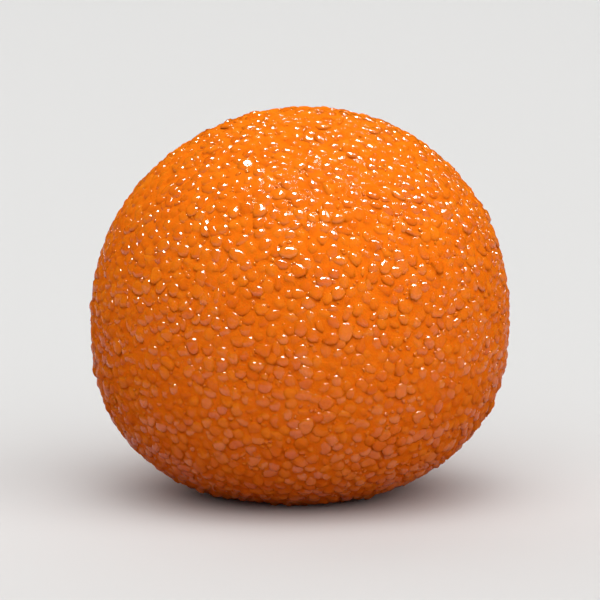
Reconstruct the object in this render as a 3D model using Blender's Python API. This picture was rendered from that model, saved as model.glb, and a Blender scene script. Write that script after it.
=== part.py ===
"""A motichoor ladoo: a ball of fine boondi pearls pressed together by hand, at rest on its flattened underside.

Metres, +Z up. The origin is the middle of the underside. +X is the longer way across, and -Y the front.
"""

import math

import bmesh
import bpy
import numpy as np

# Driving dimensions of the pressed ball
LENGTH = 0.0457  # along X
WIDTH = 0.0448  # along Y
HEIGHT = 0.0423
WAIST_HEIGHT = 0.0190  # the widest level, a little below half way, because the soft ball has settled
FLATTENED = 0.0006  # how much of the round underside its own weight has pressed flat

# Squareness of the outline, as a superellipse's exponent: 2 is a true ellipse
WAIST_SQUARENESS = 2.32
SQUARENESS_LOST_BY_THE_TOP = 0.26

# Boondi pearls
PEARLS = 2010
PEARL_CROWN = 0.00025  # how far a pearl's top stands out of the ball's mean surface
CREVICE = 0.00018  # how far the crevices round a pearl lie under it
CROWN_SPREAD = 0.00008
CREVICE_SPREAD = 0.00004
CREVICE_ANGLE = math.radians(27)  # edges sharper than this are crevices, and each pearl between them is shaded round
STRAY = 0.45  # how far a pearl strays from an even spacing, as a share of that spacing
SETTLING_ROUNDS = 8  # in each, pearls that crowd one another move apart
SETTLING_PUSH = 0.25
SEED = 21

# Flats left by the palms and fingers that pressed the ball:
# compass angle from +X in degrees, angle above the waist in degrees, depth in metres, reach in degrees
PALM_FLATS = (
    (180, 40, 0.00060, 34),
    (350, -45, 0.00060, 26),
    (15, 30, 0.00030, 30),
    (262, 22, 0.00040, 36),
    (85, 5, 0.00055, 34),
    (130, 58, 0.00040, 30),
)

FULL_TURN = 2 * math.pi
GOLDEN_ANGLE = math.pi * (3 - math.sqrt(5))


def clear_scene():
    """Removes the start-up scene's objects."""
    for leftover in list(bpy.data.objects):
        bpy.data.objects.remove(leftover, do_unlink=True)


def syrup_glazed_orange():
    """The saffron-orange, syrup-glazed look of fried and soaked gram-flour pearls."""
    material = bpy.data.materials.new("syrup_glazed_boondi")
    material.use_nodes = True
    shader = material.node_tree.nodes["Principled BSDF"]
    shader.inputs["Base Color"].default_value = (0.80, 0.17, 0.012, 1.0)
    shader.inputs["Roughness"].default_value = 0.35
    shader.inputs["Metallic"].default_value = 0.0
    material.diffuse_color = (0.80, 0.17, 0.012, 1.0)
    return material


def unit(vectors):
    """Rows scaled to length 1."""
    return vectors / np.linalg.norm(vectors, axis=1, keepdims=True)


def ball_radius(directions):
    """Distance from the waist's middle to the smooth ball, along each unit direction.

    It is a superellipsoid, taller above the waist than below and squarer below than above, less the palm flats.
    """
    x, y, z = directions.T
    half_height = np.where(z > 0, HEIGHT - WAIST_HEIGHT, WAIST_HEIGHT + FLATTENED)
    squareness = WAIST_SQUARENESS - SQUARENESS_LOST_BY_THE_TOP * z
    across = np.hypot(2 * x / LENGTH, 2 * y / WIDTH)
    radius = (across**squareness + np.abs(z / half_height) ** squareness) ** (-1 / squareness)
    for compass, above, depth, reach in np.radians(PALM_FLATS) * (1, 1, 180 / math.pi, 1):
        middle = (math.cos(above) * math.cos(compass), math.cos(above) * math.sin(compass), math.sin(above))
        away = np.arccos(np.clip(directions @ middle, -1, 1))
        radius -= depth * np.exp(-((away / reach) ** 2))
    return radius


def pearl_directions(random):
    """Unit directions of the pearls: an even spiral from pole to pole, strayed by chance, then settled."""
    index = np.arange(PEARLS) + 0.5
    z = 1 - 2 * index / PEARLS
    turn = index * GOLDEN_ANGLE
    level = np.sqrt(1 - z * z)
    even = np.column_stack((level * np.cos(turn), level * np.sin(turn), z))
    spacing = math.sqrt(2 * FULL_TURN / PEARLS)
    directions = unit(even + random.uniform(-1, 1, even.shape) * STRAY * spacing)
    for _ in range(SETTLING_ROUNDS):
        directions = settled(directions, spacing)
    return directions


def settled(directions, spacing):
    """The pearls after one push apart: each leaves every neighbour that is nearer than the even spacing."""
    gaps = directions[:, None] - directions[None]
    distances = np.linalg.norm(gaps, axis=2)
    np.fill_diagonal(distances, np.inf)
    push = np.clip(spacing / distances - 1, 0, 1) * SETTLING_PUSH
    return unit(directions + (gaps * push[:, :, None]).sum(axis=1))


def pearled_mesh():
    """The ball as one closed mesh, in which each pearl is a low, many-sided peak with a crevice all round it.

    The hull of the pearls' tops has an edge between each two neighbours. Poking puts a point in the gap
    between every three of them, and turning the hull's edges joins those points into the crevices.
    """
    random = np.random.default_rng(SEED)
    mesh = bmesh.new()
    for direction in pearl_directions(random):
        mesh.verts.new(direction)
    bmesh.ops.convex_hull(mesh, input=mesh.verts[:])
    pearls = set(mesh.verts)
    between_pearls = mesh.edges[:]
    bmesh.ops.poke(mesh, faces=mesh.faces[:])
    bmesh.ops.rotate_edges(mesh, edges=between_pearls)

    directions = unit(np.array([vertex.co for vertex in mesh.verts]))
    crown = PEARL_CROWN + random.uniform(-1, 1, len(directions)) * CROWN_SPREAD
    crevice = CREVICE + random.uniform(-1, 1, len(directions)) * CREVICE_SPREAD
    on_pearl = np.array([vertex in pearls for vertex in mesh.verts])
    places = directions * (ball_radius(directions) + np.where(on_pearl, crown, -crevice))[:, None]
    places[:, 2] += WAIST_HEIGHT
    for vertex, place in zip(mesh.verts, places):
        vertex.co = place
    return mesh


def flatten_underside(mesh):
    """What would reach below the resting plane is pressed up into it, and left as one flat face."""
    for vertex in mesh.verts:
        vertex.co.z = max(vertex.co.z, 0.0)
    pressed = [face for face in mesh.faces if all(vertex.co.z == 0.0 for vertex in face.verts)]
    bmesh.ops.dissolve_faces(mesh, faces=pressed, use_verts=True)


def centre_on_origin(mesh):
    """Moves the ball level, so that the origin is under the middle of its box."""
    corners = np.array([vertex.co for vertex in mesh.verts])
    middle = (corners.min(axis=0) + corners.max(axis=0)) / 2
    bmesh.ops.translate(mesh, verts=mesh.verts, vec=(-middle[0], -middle[1], 0.0))


def make_ladoo():
    """The whole ladoo as one named object in its own collection."""
    mesh = pearled_mesh()
    flatten_underside(mesh)
    centre_on_origin(mesh)
    bmesh.ops.recalc_face_normals(mesh, faces=mesh.faces)

    data = bpy.data.meshes.new("ladoo")
    mesh.to_mesh(data)
    mesh.free()
    data.shade_smooth()
    data.set_sharp_from_angle(angle=CREVICE_ANGLE)
    data.materials.append(syrup_glazed_orange())

    ladoo = bpy.data.objects.new("ladoo", data)
    collection = bpy.data.collections.new("motichoor_ladoo")
    bpy.context.scene.collection.children.link(collection)
    collection.objects.link(ladoo)
    return ladoo


clear_scene()
make_ladoo()
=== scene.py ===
"""A motichoor ladoo: fine fried boondi pearls in saffron-orange syrup, pressed into a ball by hand.

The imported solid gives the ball's place and size. Everything is in metres, +Z up, with the front towards -Y.
"""

import math

import bpy
import numpy as np
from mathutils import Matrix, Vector


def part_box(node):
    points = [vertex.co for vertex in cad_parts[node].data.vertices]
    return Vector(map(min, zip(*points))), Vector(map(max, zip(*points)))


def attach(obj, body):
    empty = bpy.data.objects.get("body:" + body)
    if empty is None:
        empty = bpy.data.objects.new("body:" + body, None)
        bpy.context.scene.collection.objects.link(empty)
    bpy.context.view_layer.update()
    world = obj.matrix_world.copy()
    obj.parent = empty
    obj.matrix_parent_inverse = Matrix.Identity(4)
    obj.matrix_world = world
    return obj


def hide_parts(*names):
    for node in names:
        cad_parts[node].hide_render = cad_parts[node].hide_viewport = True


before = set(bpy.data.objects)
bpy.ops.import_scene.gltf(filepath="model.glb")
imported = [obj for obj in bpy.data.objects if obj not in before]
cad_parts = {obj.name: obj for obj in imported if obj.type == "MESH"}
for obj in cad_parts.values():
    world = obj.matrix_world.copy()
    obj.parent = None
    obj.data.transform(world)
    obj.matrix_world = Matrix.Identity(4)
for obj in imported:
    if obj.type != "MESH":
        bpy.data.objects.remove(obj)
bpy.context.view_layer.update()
low, high = (np.array(corner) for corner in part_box("ladoo"))

# --------------------------------------------------------------------------------------------------------
# The pressed mass
# The body of the sweet: fried gram-flour pearls and their crumbs, bound by sugar syrup and ghee, and
# rolled into a squat ball between the palms, which leave broad flats. It stands on an underside that its
# own weight has flattened.
# --------------------------------------------------------------------------------------------------------

MM = 0.001
PEARL_STAND = 0.10 * MM  # how far the pearls stand out of the ball at most, apart from a few proud ones
WAIST_SHARE = 0.448  # the widest level, a little below half way, because the soft ball has settled
FLATTENED = 0.6 * MM  # how much of the round underside its own weight has pressed flat
WAIST_SQUARENESS = 2.32  # a superellipse's exponent: 2 is a true ellipse
SQUARENESS_LOST_BY_THE_TOP = 0.26
PALM_FLATS = (  # compass angle from +X and angle above the waist in degrees, depth in mm, reach in degrees
    (180, 40, 0.60, 34),
    (350, -45, 0.60, 26),
    (15, 30, 0.30, 30),
    (262, 22, 0.40, 36),
    (85, 5, 0.55, 34),
    (130, 58, 0.40, 30),
)
CELLS = 129  # quads along each side of the six patches that wrap the ball
FLATS_TAKE = np.array((0.20, 0.40, 0.36)) * MM  # what the flats take off the ball's half sizes, given back
SYRUP_LEVEL = -0.26 * MM  # how deep the syrup lies between the pearls
SYRUP_LEVEL_SPREAD = 0.05 * MM
SYRUP_SWELLS = (6 * MM, 0.9 * MM)  # lengths of the long and short waves in its level
MENISCUS = 0.05 * MM  # how softly the syrup climbs the pearls
PEARL_SINK = 0.06 * MM  # the mass stays this far under the crown of a pearl that is modelled whole

random = np.random.default_rng(7)
size = high - low
half = size / 2 - PEARL_STAND + FLATS_TAKE
waist = size[2] * WAIST_SHARE
top_half = size[2] - waist - PEARL_STAND + FLATS_TAKE[2]


def unit(vectors):
    """Each row divided by its length."""
    return vectors / np.linalg.norm(vectors, axis=-1, keepdims=True)


def toward(compass, above):
    """The unit direction at a compass angle from +X and an angle above level, both in degrees."""
    compass, above = math.radians(compass), math.radians(above)
    level = math.cos(above)
    return np.array((level * math.cos(compass), level * math.sin(compass), math.sin(above)))


def round_ball(directions):
    """The smooth ball round the waist's middle. Its radius is a superellipsoid's, (across^n +
    up^n)^(-1/n), taller above the waist than below it and squarer below than above, less a bell-shaped
    dip for each palm flat."""
    x, y, z = directions.T
    squareness = WAIST_SQUARENESS - SQUARENESS_LOST_BY_THE_TOP * z
    across = np.hypot(x / half[0], y / half[1])
    up = np.abs(z) / np.where(z > 0, top_half, waist + FLATTENED)
    radius = (across**squareness + up**squareness) ** (-1 / squareness)
    for compass, above, depth, reach in PALM_FLATS:
        away = np.arccos(np.clip(directions @ toward(compass, above), -1, 1))
        radius = radius - depth * MM * np.exp(-((away / math.radians(reach)) ** 2))
    return directions * radius[:, None]


def ripple(places, wavelength, waves=24):
    """Smooth unevenness of about unit size: the sum of plane waves of about one length and of chance
    directions."""
    runs = unit(random.normal(size=(waves, 3))) / (wavelength * random.uniform(0.7, 1.5, (waves, 1)))
    phases = random.uniform(0, 2 * math.pi, waves)
    return np.cos(2 * math.pi * places @ runs.T + phases).sum(axis=1) / math.sqrt(waves / 2)


ROWS_AT_ONCE = 256


def nearest(directions, others, count):
    """For each direction, the indices of the nearest of the others, which have the largest dot products
    with it."""
    found = []
    for start in range(0, len(directions), ROWS_AT_ONCE):
        rows = directions[start : start + ROWS_AT_ONCE]
        closeness = rows.astype(np.float32) @ others.T.astype(np.float32)
        found.append(np.argpartition(-closeness, count, axis=1)[:, :count].copy())
    return np.concatenate(found)


def scattered(count, stray, rounds):
    """Directions spread over a sphere: a golden-angle spiral, strayed by chance up to a share of the even
    spacing, then pushed apart in rounds, each by a quarter of what two of them lack of that spacing."""
    index = np.arange(count) + 0.5
    z = 1 - 2 * index / count
    turn = index * math.pi * (3 - math.sqrt(5))
    level = np.sqrt(1 - z * z)
    spacing = math.sqrt(4 * math.pi / count)
    spots = np.column_stack((level * np.cos(turn), level * np.sin(turn), z))
    spots = unit(spots + random.uniform(-1, 1, spots.shape) * stray * spacing)
    itself = spacing * 0.051  # whatever lies nearer to a spot than this is the spot itself
    for _ in range(rounds):
        close = nearest(spots, spots, 9)
        gaps = spots[:, None] - spots[close]
        apart = np.maximum(np.linalg.norm(gaps, axis=2), itself)
        push = np.clip(spacing / apart - 1, 0, 1) * (apart > itself) * 0.25
        spots = unit(spots + (gaps * push[:, :, None]).sum(axis=1))
    return spots


def turned_axes(out):
    """Two unit directions along the surface for each outward one, turned round it by chance."""
    helper = np.where(np.abs(out[:, 2:]) < 0.8, (0.0, 0.0, 1.0), (1.0, 0.0, 0.0))
    along = unit(np.cross(helper, out))
    across = np.cross(out, along)
    turn = random.uniform(0, 2 * math.pi, (len(out), 1))
    return along * np.cos(turn) + across * np.sin(turn), across * np.cos(turn) - along * np.sin(turn)


# The grains that lie at the surface. A pearl is about as wide as the room its neighbours leave it, and
# one in three was crushed by the palms, which left it wider, lower and flatter. Crumbs fill the gaps
# between the pearls. All the sizes of grains are half widths and half heights.
PEARLS = 3400
CRUSHED_SHARE = 0.34
PROUD_SHARE = 0.06  # of the pearls, those that were pressed in least
PROUDEST = 0.30 * MM
WIDEST_PEARL = 0.84 * MM
ROOM_TAKEN = ((0.50, 0.62), (0.54, 0.65))  # half width over room: whole pearls, then crushed ones
TALLNESS = ((0.60, 0.78), (0.42, 0.56))  # half height over half width
CROWNS_IN_MM = ((-0.02, 0.10), (-0.06, 0.03))  # over the smooth ball
TRIED = 40000  # places where a crumb may lie
SMALLEST_CRUMB = 0.13 * MM
LARGEST_CRUMB = 0.48 * MM
CRUMB_ROOM_TAKEN = (1.0, 1.4)  # half width over room: its edge slips under the pearls round it
CRUMBS_APART = 0.8  # two crumbs' least distance over the sum of their rooms
CRUMB_TALLNESS = (0.6, 0.9)
CRUMB_CROWNS_IN_MM = (-0.12, -0.03)
LENGTHENED = ((0.88, 1.14), (0.84, 1.20), (0.78, 1.28))  # along over mean width: whole, crushed, crumbs
WHOLE, CRUSHED, CRUMB = 0, 1, 2


def by_kind(kinds, ranges):
    """A value for each grain, drawn evenly by chance between the two ends given for its kind."""
    ends = np.array(ranges)[kinds]
    return random.uniform(ends[:, 0], ends[:, 1])


pearl_out = scattered(PEARLS, stray=0.6, rounds=5)
pearl_foot = round_ball(pearl_out)
pearl_kind = np.where(random.random(PEARLS) < CRUSHED_SHARE, CRUSHED, WHOLE)
neighbours = nearest(pearl_out, pearl_out, 6)  # one of the six is the pearl itself
room = np.linalg.norm(pearl_foot[:, None] - pearl_foot[neighbours], axis=2).sum(axis=1) / 5
pearl_half = np.minimum(room * by_kind(pearl_kind, ROOM_TAKEN), WIDEST_PEARL)
pearl_tall = pearl_half * by_kind(pearl_kind, TALLNESS)
pearl_crown = by_kind(pearl_kind, CROWNS_IN_MM) * MM
proud = (random.random(PEARLS) < PROUD_SHARE) & (pearl_kind == WHOLE)
pearl_crown = np.where(proud, random.uniform(PEARL_STAND, PROUDEST, PEARLS), pearl_crown)

# A crumb may lie where no pearl shows above the syrup, whose level cuts each pearl in an ellipse. Of
# places that crowd each other, the roomiest is taken.
above_syrup = np.clip((pearl_crown - SYRUP_LEVEL) / pearl_tall, 0, 1)
pearl_shown = pearl_half * np.sqrt(1 - (1 - above_syrup) ** 2)
tried_out = unit(random.normal(size=(TRIED, 3)))
tried_foot = round_ball(tried_out)
close = nearest(tried_out, pearl_out, 6)
free = (np.linalg.norm(tried_foot[:, None] - pearl_foot[close], axis=2) - pearl_shown[close]).min(axis=1)
tried_out, tried_foot, free = (values[free > SMALLEST_CRUMB] for values in (tried_out, tried_foot, free))
close = nearest(tried_out, tried_out, 12)
apart = np.linalg.norm(tried_foot[:, None] - tried_foot[close], axis=2)
too_near = apart < CRUMBS_APART * (free[:, None] + free[close])
crowded = (too_near & (free[close] > free[:, None])).any(axis=1)
crumb_out, free = tried_out[~crowded], free[~crowded]
crumb_kind = np.full(len(free), CRUMB)
crumb_half = np.clip(free * random.uniform(*CRUMB_ROOM_TAKEN, len(free)), SMALLEST_CRUMB, LARGEST_CRUMB)

grain_out = np.concatenate((pearl_out, crumb_out))
grain_foot = round_ball(grain_out)
grain_along, grain_across = turned_axes(grain_out)
grain_kind = np.concatenate((pearl_kind, crumb_kind))
grain_half = np.concatenate((pearl_half, crumb_half))
grain_tall = np.concatenate((pearl_tall, crumb_half * random.uniform(*CRUMB_TALLNESS, len(free))))
grain_crown = np.concatenate((pearl_crown, random.uniform(*CRUMB_CROWNS_IN_MM, len(free)) * MM))
grain_long = by_kind(grain_kind, LENGTHENED)
grain_tone = random.random(len(grain_out))
grain_gloss = random.random(len(grain_out))


def relief(places, directions):
    """Height of the mass over the smooth ball, and the tone and gloss of the grain it covers. Each grain
    is the top of an ellipsoid, crown - tall (1 - sqrt(1 - s^2 - t^2)), with s and t the distances from
    its middle along its axes over its half widths, and falls away past its rim. The grains and the uneven
    level of the syrup between them are joined by a soft maximum, as syrup joins them."""
    near = nearest(directions, grain_out, 9)
    offset = places[:, None] - grain_foot[near]
    s = (offset * grain_along[near]).sum(axis=2) / (grain_half * grain_long)[near]
    t = (offset * grain_across[near]).sum(axis=2) / (grain_half / grain_long)[near]
    inside = 1 - s * s - t * t
    cap = np.sqrt(np.maximum(inside, 0)) + np.minimum(inside, 0)
    heights = grain_crown[near] - PEARL_SINK - grain_tall[near] * (1 - cap)
    swells = sum(0.5 * ripple(places, length) for length in SYRUP_SWELLS)
    syrup = SYRUP_LEVEL + SYRUP_LEVEL_SPREAD * swells
    heights = np.column_stack((heights, syrup))
    highest = heights.max(axis=1)
    weights = np.exp((heights - highest[:, None]) / MENISCUS)
    total = weights.sum(axis=1)
    share = weights[:, :-1] / total[:, None]
    left = 0.5 * weights[:, -1] / total
    tone = (share * grain_tone[near]).sum(axis=1) + left
    gloss = (share * grain_gloss[near]).sum(axis=1) + left
    return highest + MENISCUS * np.log(total), tone, gloss


def wrapped_grid(n):
    """The six patches of a ball as one closed grid of quads: each patch's square is bent by the tangent,
    so that its cells are alike, and the points that patches share along their edges are made one."""
    margin = 0.01  # kept free round each patch on the map
    step = np.arange(n + 1)
    a, b = np.meshgrid(step, step, indexing="ij")
    bent = np.tan((step / n - 0.5) * math.pi / 2)
    corners, quads, maps = [], [], []
    for side in range(6):
        axis, sign = side % 3, 1 - 2 * (side // 3)
        points = np.empty((n + 1, n + 1, 3))
        points[..., axis] = sign
        points[..., (axis + 1) % 3] = bent[a] * sign
        points[..., (axis + 2) % 3] = bent[b]
        index = side * (n + 1) ** 2 + a * (n + 1) + b
        corners.append(points.reshape(-1, 3))
        around = (index[:-1, :-1], index[1:, :-1], index[1:, 1:], index[:-1, 1:])
        quads.append(np.stack(around, axis=-1).reshape(-1, 4))
        u, v = margin + (1 - 2 * margin) * a / n, margin + (1 - 2 * margin) * b / n
        maps.append(np.stack(((axis + u) / 3, (side // 3 + v) / 2), axis=-1).reshape(-1, 2))
    corners, quads, maps = np.concatenate(corners), np.concatenate(quads), np.concatenate(maps)
    rounded = np.round(corners * 1e6).astype(np.int64)
    _, first, index = np.unique(rounded, axis=0, return_index=True, return_inverse=True)
    return unit(corners[first]), index.reshape(-1)[quads], maps[quads]


def make_piece(name, points, faces, **values):
    """A smooth-shaded mesh object from whole arrays: points, faces of three or four corners, values for
    each point and, under places, where each face's corners lie on the map of its finish."""
    mesh = bpy.data.meshes.new(name)
    mesh.vertices.add(len(points))
    mesh.vertices.foreach_set("co", np.ascontiguousarray(points, np.float32).ravel())
    mesh.loops.add(faces.size)
    mesh.loops.foreach_set("vertex_index", np.ascontiguousarray(faces, np.int32).ravel())
    mesh.polygons.add(len(faces))
    mesh.polygons.foreach_set("loop_start", np.arange(0, faces.size, faces.shape[1], dtype=np.int32))
    mesh.update(calc_edges=True)
    mesh.shade_smooth()
    places = values.pop("places", None)
    if places is not None:
        layer = mesh.uv_layers.new(name="OFBake")
        layer.uv.foreach_set("vector", np.ascontiguousarray(places, np.float32).ravel())
    for label, numbers in values.items():
        layer = mesh.attributes.new(label, "FLOAT", "POINT")
        layer.data.foreach_set("value", np.ascontiguousarray(numbers, np.float32))
    piece = bpy.data.objects.new(name, mesh)
    bpy.context.scene.collection.objects.link(piece)
    return piece


def on_plate(points, floor_level):
    """Points moved up from the waist's middle to where the ball stands, and what would lie under a level
    pressed up to it."""
    points = points + (0, 0, waist)
    points[..., 2] = np.maximum(points[..., 2], floor_level)
    return points


SOFTNESS = 0.7  # how far the shading of the pearls is evened out
BLOTCHES = 140  # scales of the skin's patterns, per metre
SPECKS = 1100
WET_PATCHES = 260
WRINKLES = 2600


def skin_group():
    """Boondi skin, for every material of the ladoo. Colour runs from deep to pale with each pearl's tone and
    with broad blotches, and is painted brighter in the gaps: painted light, standing in for light that soaks
    through the pearls into the shade between them. Roughness and height carry the fine wrinkles of fried
    batter, and the glaze of syrup runs from dry to wet with each pearl's gloss and in patches. The soft
    normal leans from the surface's own towards the whole ball's, because the light that soaks through a
    pearl evens out its shading."""
    group = bpy.data.node_groups.new("boondi_skin", "ShaderNodeTree")
    for label, kind in (
        ("Tone", "NodeSocketFloat"),
        ("Depth", "NodeSocketFloat"),
        ("Gloss", "NodeSocketFloat"),
        ("Deep", "NodeSocketColor"),
        ("Pale", "NodeSocketColor"),
        ("Painted Gap Light", "NodeSocketColor"),
        ("Smooth", "NodeSocketFloat"),
        ("Rough", "NodeSocketFloat"),
        ("Dry", "NodeSocketFloat"),
        ("Wet", "NodeSocketFloat"),
    ):
        group.interface.new_socket(label, in_out="INPUT", socket_type=kind)
    for label, kind in (
        ("Color", "NodeSocketColor"),
        ("Roughness", "NodeSocketFloat"),
        ("Glaze", "NodeSocketFloat"),
        ("Height", "NodeSocketFloat"),
        ("Soft Normal", "NodeSocketVector"),
    ):
        group.interface.new_socket(label, in_out="OUTPUT", socket_type=kind)
    nodes, links = group.nodes, group.links
    given, made = nodes.new("NodeGroupInput"), nodes.new("NodeGroupOutput")
    where = nodes.new("ShaderNodeTexCoord").outputs["Object"]

    def noise(scale, detail):
        node = nodes.new("ShaderNodeTexNoise")
        node.inputs["Scale"].default_value = scale
        node.inputs["Detail"].default_value = detail
        links.new(where, node.inputs["Vector"])
        return node.outputs["Fac"]

    def mapped(value, low_in, high_in, low_out, high_out):
        node = nodes.new("ShaderNodeMapRange")
        links.new(value, node.inputs["Value"])
        ends = {"From Min": low_in, "From Max": high_in, "To Min": low_out, "To Max": high_out}
        for label, end in ends.items():
            if isinstance(end, bpy.types.NodeSocket):
                links.new(end, node.inputs[label])
            else:
                node.inputs[label].default_value = end
        return node.outputs["Result"]

    def maths(operation, first, second):
        node = nodes.new("ShaderNodeMath")
        node.operation = operation
        for socket, value in zip(node.inputs, (first, second)):
            if isinstance(value, bpy.types.NodeSocket):
                links.new(value, socket)
            else:
                socket.default_value = value
        return node.outputs["Value"]

    def mixed(factor, first, second):
        node = nodes.new("ShaderNodeMix")
        node.data_type = "RGBA"
        links.new(factor, node.inputs["Factor"])
        links.new(first, node.inputs[6])  # A and B of a mix of colours are its sockets 6 and 7
        links.new(second, node.inputs[7])
        return node.outputs[2]

    blotch = mapped(noise(BLOTCHES, 2), 0.35, 0.65, -0.1, 0.1)
    speck = mapped(noise(SPECKS, 2), 0.3, 0.7, -0.18, 0.18)
    tone = maths("ADD", maths("ADD", given.outputs["Tone"], blotch), speck)
    body = mixed(mapped(tone, 0.0, 1.0, 0.0, 1.0), given.outputs["Deep"], given.outputs["Pale"])
    # In the gaps the colour is painted brighter: painted light, for light soaking through the pearls into
    # their shade.
    painted_gap_light = mapped(given.outputs["Depth"], 0.35, 1.0, 0.0, 0.75)
    links.new(mixed(painted_gap_light, body, given.outputs["Painted Gap Light"]), made.inputs["Color"])
    wrinkle = noise(WRINKLES, 3)
    dull = maths("SUBTRACT", 1.0, given.outputs["Gloss"])
    dull = maths("ADD", dull, mapped(wrinkle, 0.3, 0.7, -0.3, 0.3))
    roughness = mapped(dull, 0.0, 1.0, given.outputs["Smooth"], given.outputs["Rough"])
    links.new(roughness, made.inputs["Roughness"])
    links.new(wrinkle, made.inputs["Height"])
    wetness = maths("ADD", given.outputs["Gloss"], mapped(noise(WET_PATCHES, 2), 0.35, 0.65, -0.3, 0.3))
    links.new(mapped(wetness, 0.25, 0.8, given.outputs["Dry"], given.outputs["Wet"]), made.inputs["Glaze"])

    def vectors(operation, first, *others):
        node = nodes.new("ShaderNodeVectorMath")
        node.operation = operation
        links.new(first, node.inputs[0])
        for socket, value in zip(node.inputs[1:], others):
            if isinstance(value, bpy.types.NodeSocket):
                links.new(value, socket)
            else:
                socket.default_value = value
        return node.outputs["Vector"]

    to_world = nodes.new("ShaderNodeVectorTransform")
    to_world.vector_type = "NORMAL"
    to_world.convert_from, to_world.convert_to = "OBJECT", "WORLD"
    links.new(vectors("SUBTRACT", where, (0, 0, waist)), to_world.inputs["Vector"])
    lean = nodes.new("ShaderNodeMix")
    lean.data_type = "VECTOR"
    lean.inputs["Factor"].default_value = SOFTNESS
    links.new(nodes.new("ShaderNodeNewGeometry").outputs["Normal"], lean.inputs[4])  # A of a mix of vectors
    links.new(vectors("NORMALIZE", to_world.outputs["Vector"]), lean.inputs[5])
    links.new(vectors("NORMALIZE", lean.outputs[1]), made.inputs["Soft Normal"])
    return group


boondi_skin = skin_group()


def boondi_material(name, deep, pale, painted_gap_light, smooth, rough, dry, wet, bump):
    """A material of boondi: the shared skin with its own colours and gloss, which lets light soak in,
    under a glaze of sugar syrup."""
    material = bpy.data.materials.new(name)
    material.use_nodes = True
    nodes, links = material.node_tree.nodes, material.node_tree.links
    shader = nodes["Principled BSDF"]
    skin = nodes.new("ShaderNodeGroup")
    skin.node_tree = boondi_skin
    for label in ("tone", "depth", "gloss"):
        value = nodes.new("ShaderNodeAttribute")
        value.attribute_name = label
        links.new(value.outputs["Fac"], skin.inputs[label.capitalize()])
    skin.inputs["Deep"].default_value = (*deep, 1)
    skin.inputs["Pale"].default_value = (*pale, 1)
    # the gaps' painted light: a brighter colour standing in for light that soaks into them
    skin.inputs["Painted Gap Light"].default_value = (*painted_gap_light, 1)
    skin.inputs["Smooth"].default_value = smooth
    skin.inputs["Rough"].default_value = rough
    skin.inputs["Dry"].default_value = dry
    skin.inputs["Wet"].default_value = wet
    wrinkles = nodes.new("ShaderNodeBump")
    wrinkles.inputs["Strength"].default_value = bump
    wrinkles.inputs["Distance"].default_value = 0.05 * MM
    links.new(skin.outputs["Height"], wrinkles.inputs["Height"])
    links.new(skin.outputs["Soft Normal"], wrinkles.inputs["Normal"])
    links.new(skin.outputs["Color"], shader.inputs["Base Color"])
    links.new(skin.outputs["Roughness"], shader.inputs["Roughness"])
    links.new(wrinkles.outputs["Normal"], shader.inputs["Normal"])
    links.new(skin.outputs["Glaze"], shader.inputs["Coat Weight"])
    shader.inputs["Coat Roughness"].default_value = 0.05
    shader.inputs["Coat IOR"].default_value = 1.85
    shader.inputs["Specular IOR Level"].default_value = 0  # under syrup, and only the syrup mirrors
    shader.inputs["Subsurface Weight"].default_value = 0.15
    shader.inputs["Subsurface Radius"].default_value = (1.0, 0.32, 0.08)
    shader.inputs["Subsurface Scale"].default_value = 0.4 * MM
    return material


LIFT = 0.08 * MM  # of the mass, off what the ball stands on: the pressed pearls reach lower
HIGHEST_GAP = 0.05 * MM  # the gaps between the grains are painted brighter from this height down: painted light
DEEPEST_GAP = -0.30 * MM


def gap_depth(height):
    """How much of the painted gap light a place gets: 0 on the crowns of the grains and 1 at the bottom of
    the gaps, from the height over the smooth ball."""
    return np.clip((HIGHEST_GAP - height) / (HIGHEST_GAP - DEEPEST_GAP), 0, 1)


grid_directions, grid_faces, grid_places = wrapped_grid(CELLS)
grid_points = round_ball(grid_directions)
grid_heights, grid_tones, grid_gloss = relief(grid_points, grid_directions)
pressed_boondi = make_piece(
    "pressed_boondi",
    on_plate(grid_points + grid_directions * grid_heights[:, None], LIFT),
    grid_faces,
    places=grid_places,
    tone=grid_tones,
    gloss=grid_gloss,
    depth=gap_depth(grid_heights),
)
pressed_boondi.data.materials.append(
    boondi_material(
        "syrup_bound_boondi",
        deep=(0.84, 0.153, 0.005),
        pale=(0.91, 0.202, 0.007),
        # the gap colour is painted light: brighter, for light soaking through the pearls into the gaps
        painted_gap_light=(0.94, 0.186, 0.005),
        smooth=0.45,
        rough=0.7,
        dry=0.0,
        wet=0.08,
        bump=1.0,
    )
)
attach(pressed_boondi, "root")
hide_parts("ladoo")

# --------------------------------------------------------------------------------------------------------
# Whole and crushed pearls
# Drops of gram-flour batter, fried as beads about a millimetre and a half across. At the surface of the
# ball they show whole or squashed flat, half sunk in the syrup-bound mass, each a little out of round and
# a tone of its own.
# --------------------------------------------------------------------------------------------------------

HIGHEST_PRESSED = 0.06 * MM  # each grain under the ball is pressed to a level between its underside and this
LUMP_WAVES = (1.5, 4.2)  # how fast the waves run that make a grain uneven, in radians over its half width
MAP_MARGIN = 0.04  # kept free round each grain's tile of the map
PEARL_RINGS = np.radians((26, 52, 80, 126))  # angles from the crown: most of them on the half that shows
PEARL_SEGMENTS = 7


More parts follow.
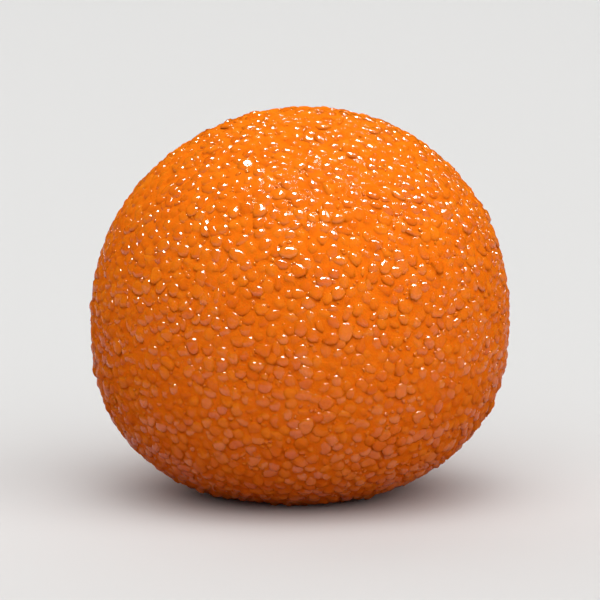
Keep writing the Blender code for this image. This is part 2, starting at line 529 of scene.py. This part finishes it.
def bead(rings, segments):
    """A closed bead: unit directions on rings round the crown, each ring turned half a segment from the
    last, with one point at either pole. Its map is the bead seen from the crown, the under side spread
    outside the upper one."""
    turn = (np.arange(segments) + 0.5 * (np.arange(len(rings)) % 2)[:, None]) * 2 * math.pi / segments
    polar = np.repeat(rings[:, None], segments, axis=1)
    shell = np.stack((np.sin(polar) * np.cos(turn), np.sin(polar) * np.sin(turn), np.cos(polar)), axis=-1)
    points = np.concatenate(([(0, 0, 1)], shell.reshape(-1, 3), [(0, 0, -1)]))
    outward = polar / math.pi
    flat = np.stack((outward * np.cos(turn), outward * np.sin(turn)), axis=-1).reshape(-1, 2)
    here = np.arange(segments)
    after = (here + 1) % segments
    last = len(points) - 1
    faces = [np.column_stack((np.zeros(segments, int), 1 + here, 1 + after))]
    for ring in range(len(rings) - 1):
        upper, lower = 1 + ring * segments, 1 + (ring + 1) * segments
        if ring % 2 == 0:
            faces.append(np.column_stack((upper + here, lower + here, upper + after)))
            faces.append(np.column_stack((upper + after, lower + here, lower + after)))
        else:
            faces.append(np.column_stack((upper + here, lower + here, lower + after)))
            faces.append(np.column_stack((upper + here, lower + after, upper + after)))
    under = 1 + (len(rings) - 1) * segments
    faces.append(np.column_stack((under + after, under + here, np.full(segments, last))))
    faces = np.concatenate(faces)
    places = np.concatenate(([(0, 0)], flat, [(0, 0)]))[faces]
    rim = places[-segments:, :2].mean(axis=1)
    places[-segments:, 2] = rim / np.linalg.norm(rim, axis=1, keepdims=True)
    return points, faces, places


def beads_of(template, foot, out, along, across, wide, long, tall, crown, lump):
    """Copies of a template bead, one for each foot: stretched to its half widths and height, its crown
    set at its height over the foot, and made uneven by three waves of chance direction, each a share lump
    of its size. With them go their faces, the places on the map and the heights over the foot."""
    points, faces, places = template
    count = len(foot)
    shape = np.ones((count, len(points)))
    for _ in range(3):
        wave = unit(random.normal(size=(count, 3))) * random.uniform(*LUMP_WAVES, (count, 1))
        shape += lump * np.cos(wave @ points.T + random.uniform(0, 2 * math.pi, (count, 1)))
    shape /= shape.mean(axis=1, keepdims=True)
    local = points[None] * shape[..., None]
    placed = (
        (foot + out * (crown - tall * shape[:, 0])[:, None])[:, None]
        + local[..., :1] * (along * (wide * long)[:, None])[:, None]
        + local[..., 1:2] * (across * (wide / long)[:, None])[:, None]
        + local[..., 2:] * (out * tall[:, None])[:, None]
    )
    side = math.ceil(math.sqrt(count))
    tile = np.arange(count)
    corner = np.column_stack((tile % side, tile // side)) + 0.5
    all_places = (corner[:, None, None] + places[None] * (0.5 - MAP_MARGIN)) / side
    all_faces = faces[None] + (tile * len(points))[:, None, None]
    height = ((placed - foot[:, None]) * out[:, None]).sum(axis=2)
    return placed, all_faces.reshape(-1, 3), all_places.reshape(-1, 2), height


def add_beads(name, template, kind, lump, material):
    """One piece of the grains of a kind. Those under the ball were pushed up into it by what it stands
    on, and each is pressed to its own level where it would still reach lower."""
    chosen = grain_kind == kind
    placed, faces, places, height = beads_of(
        template,
        np.maximum(grain_foot[chosen], (-np.inf, -np.inf, -waist)),
        grain_out[chosen],
        grain_along[chosen],
        grain_across[chosen],
        grain_half[chosen],
        grain_long[chosen],
        grain_tall[chosen],
        grain_crown[chosen],
        lump,
    )
    levels = random.uniform(0, HIGHEST_PRESSED, (len(placed), 1))
    piece = make_piece(
        name,
        on_plate(placed, levels).reshape(-1, 3),
        faces,
        places=places,
        tone=np.repeat(grain_tone[chosen], placed.shape[1]),
        gloss=np.repeat(grain_gloss[chosen], placed.shape[1]),
        depth=gap_depth(height).ravel(),
    )
    piece.data.materials.append(material)
    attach(piece, "root")


add_beads(
    "whole_pearls",
    bead(PEARL_RINGS, PEARL_SEGMENTS),
    WHOLE,
    lump=0.13,
    material=boondi_material(
        "glazed_boondi",
        deep=(0.84, 0.159, 0.005),
        pale=(0.93, 0.218, 0.008),
        # the gap colour is painted light: brighter, for light soaking through the pearls into the gaps
        painted_gap_light=(0.94, 0.191, 0.005),
        smooth=0.15,
        rough=0.35,
        dry=0.1,
        wet=1.0,
        bump=0.3,
    ),
)
add_beads(
    "crushed_pearls",
    bead(PEARL_RINGS, PEARL_SEGMENTS),
    CRUSHED,
    lump=0.19,
    material=boondi_material(
        "crushed_boondi",
        deep=(0.84, 0.159, 0.005),
        pale=(0.93, 0.218, 0.008),
        # the gap colour is painted light: brighter, for light soaking through the pearls into the gaps
        painted_gap_light=(0.94, 0.191, 0.005),
        smooth=0.2,
        rough=0.45,
        dry=0.2,
        wet=0.75,
        bump=0.45,
    ),
)

# --------------------------------------------------------------------------------------------------------
# Crumbs
# Bits of pearls that broke in the pan and under the palms. They lie in the gaps between the pearls, stuck
# by the syrup, too small and too broken to be round.
# --------------------------------------------------------------------------------------------------------

CRUMB_RINGS = np.radians((42, 84, 130))
CRUMB_SEGMENTS = 6

add_beads(
    "crumbs",
    bead(CRUMB_RINGS, CRUMB_SEGMENTS),
    CRUMB,
    lump=0.2,
    material=boondi_material(
        "boondi_crumb",
        deep=(0.84, 0.159, 0.005),
        pale=(0.93, 0.218, 0.008),
        # the gap colour is painted light: brighter, for light soaking through the pearls into the gaps
        painted_gap_light=(0.94, 0.191, 0.005),
        smooth=0.15,
        rough=0.4,
        dry=0.2,
        wet=0.9,
        bump=0.4,
    ),
)

# --------------------------------------------------------------------------------------------------------
# The floor
# A broad disc of pale matt paper that the ladoo stands on, so wide that its edge lies at the horizon.
# --------------------------------------------------------------------------------------------------------

FLOOR_RADIUS = 40
FLOOR_SIDES = 96


def disc(radius, sides):
    """A flat disc of triangles round its middle."""
    turn = np.arange(sides) * 2 * math.pi / sides
    rim = np.column_stack((radius * np.cos(turn), radius * np.sin(turn), np.zeros(sides)))
    here = np.arange(sides)
    faces = np.column_stack((here, (here + 1) % sides, np.full(sides, sides)))
    return np.concatenate((rim, [(0, 0, 0)])), faces


floor = make_piece("floor", *disc(FLOOR_RADIUS, FLOOR_SIDES))
paper = bpy.data.materials.new("pale_paper")
paper.use_nodes = True
nodes, links = paper.node_tree.nodes, paper.node_tree.links
ray = nodes.new("ShaderNodeLightPath")
color = nodes["Principled BSDF"].inputs["Base Color"]
for met_by, dulled in (
    ("Is Glossy Ray", (0.36, 0.28, 0.30, 1)),  # the syrup mirrors it as dull as others of its kind
    ("Is Diffuse Ray", (0.25, 0.135, 0.135, 1)),  # and it lights the sweet as others of its kind would
):
    shown = nodes.new("ShaderNodeMix")
    shown.data_type = "RGBA"
    shown.inputs[6].default_value = (0.60, 0.596, 0.588, 1)
    shown.inputs[7].default_value = dulled
    links.new(ray.outputs[met_by], shown.inputs["Factor"])
    links.new(shown.outputs[2], color)
    color = shown.inputs[6]
nodes["Principled BSDF"].inputs["Roughness"].default_value = 0.9
floor.data.materials.append(paper)

# --------------------------------------------------------------------------------------------------------
# Light
# A pale room and far-off lamps, so the floor is lit evenly. Broad soft lamps light the sweet and aren't
# mirrored in its syrup. Small ones only glint in the syrup, and two wide weak ones low down give it a
# sheen.
# --------------------------------------------------------------------------------------------------------

HORIZON_BRIGHTNESS = 0.24
OVERHEAD_BRIGHTNESS = 0.14
BRIGHTNESS_SHOWN = 0.76  # behind the floor's edge, for the camera alone

scene = bpy.context.scene
scene.view_settings.view_transform = "Standard"

world = bpy.data.worlds.new("pale_room")
world.use_nodes = True
nodes, links = world.node_tree.nodes, world.node_tree.links
direction = nodes.new("ShaderNodeTexCoord").outputs["Generated"]
upward = nodes.new("ShaderNodeSeparateXYZ")
links.new(direction, upward.inputs["Vector"])
fade = nodes.new("ShaderNodeMapRange")
fade.interpolation_type = "SMOOTHSTEP"
fade.inputs["From Min"].default_value = 0.05  # heights on a sphere of radius 1
fade.inputs["From Max"].default_value = 0.55
fade.inputs["To Min"].default_value = HORIZON_BRIGHTNESS
fade.inputs["To Max"].default_value = OVERHEAD_BRIGHTNESS
links.new(upward.outputs["Z"], fade.inputs["Value"])
shown = nodes.new("ShaderNodeMix")
shown.inputs["B"].default_value = BRIGHTNESS_SHOWN
links.new(nodes.new("ShaderNodeLightPath").outputs["Is Camera Ray"], shown.inputs["Factor"])
links.new(fade.outputs["Result"], shown.inputs["A"])
links.new(shown.outputs["Result"], nodes["Background"].inputs["Strength"])
nodes["Background"].inputs["Color"].default_value = (1, 1, 1, 1)
scene.world = world
world.cycles_visibility.glossy = False


def look_from(item, place, target):
    """Puts a lamp or the camera at a place, facing the target."""
    item.location = place
    item.rotation_euler = (Vector(target) - Vector(place)).to_track_quat("-Z", "Y").to_euler()
    scene.collection.objects.link(item)


LAMP_DISTANCE = 0.5
middle = (low + high) / 2
for name, compass, above, breadth, power, lights, glints in (
    ("front_softbox", -80, 58, 90, 3.2, True, False),
    ("right_softbox", -15, 20, 50, 0.42, True, False),
    ("back_softbox", 105, 30, 80, 1.3, True, False),
    ("overhead_lamp", -78, 80, 28, 8.2, False, True),
    ("right_lamp", -8, 56, 24, 1.2, False, True),
    ("right_sheen", -30, 4, 100, 0.3, False, True),
    ("front_sheen", -90, 3, 100, 0.2, False, True),
):
    lamp = bpy.data.lights.new(name, "SUN")
    lamp.angle = math.radians(breadth)
    lamp.energy = power
    item = bpy.data.objects.new(name, lamp)
    item.visible_diffuse = lights
    item.visible_glossy = glints
    look_from(item, middle + LAMP_DISTANCE * toward(compass, above), middle)

# --------------------------------------------------------------------------------------------------------
# Camera
# It looks along +Y through a long lens, from a little above the level of the ladoo.
# --------------------------------------------------------------------------------------------------------

LENS = 150
ELEVATION = 7
DISTANCE = 0.275
camera = bpy.data.objects.new("camera", bpy.data.cameras.new("camera"))
camera.data.lens = LENS
look_from(camera, middle + DISTANCE * toward(-90, ELEVATION), middle)
camera.data.clip_end = 2 * FLOOR_RADIUS
scene.camera = camera
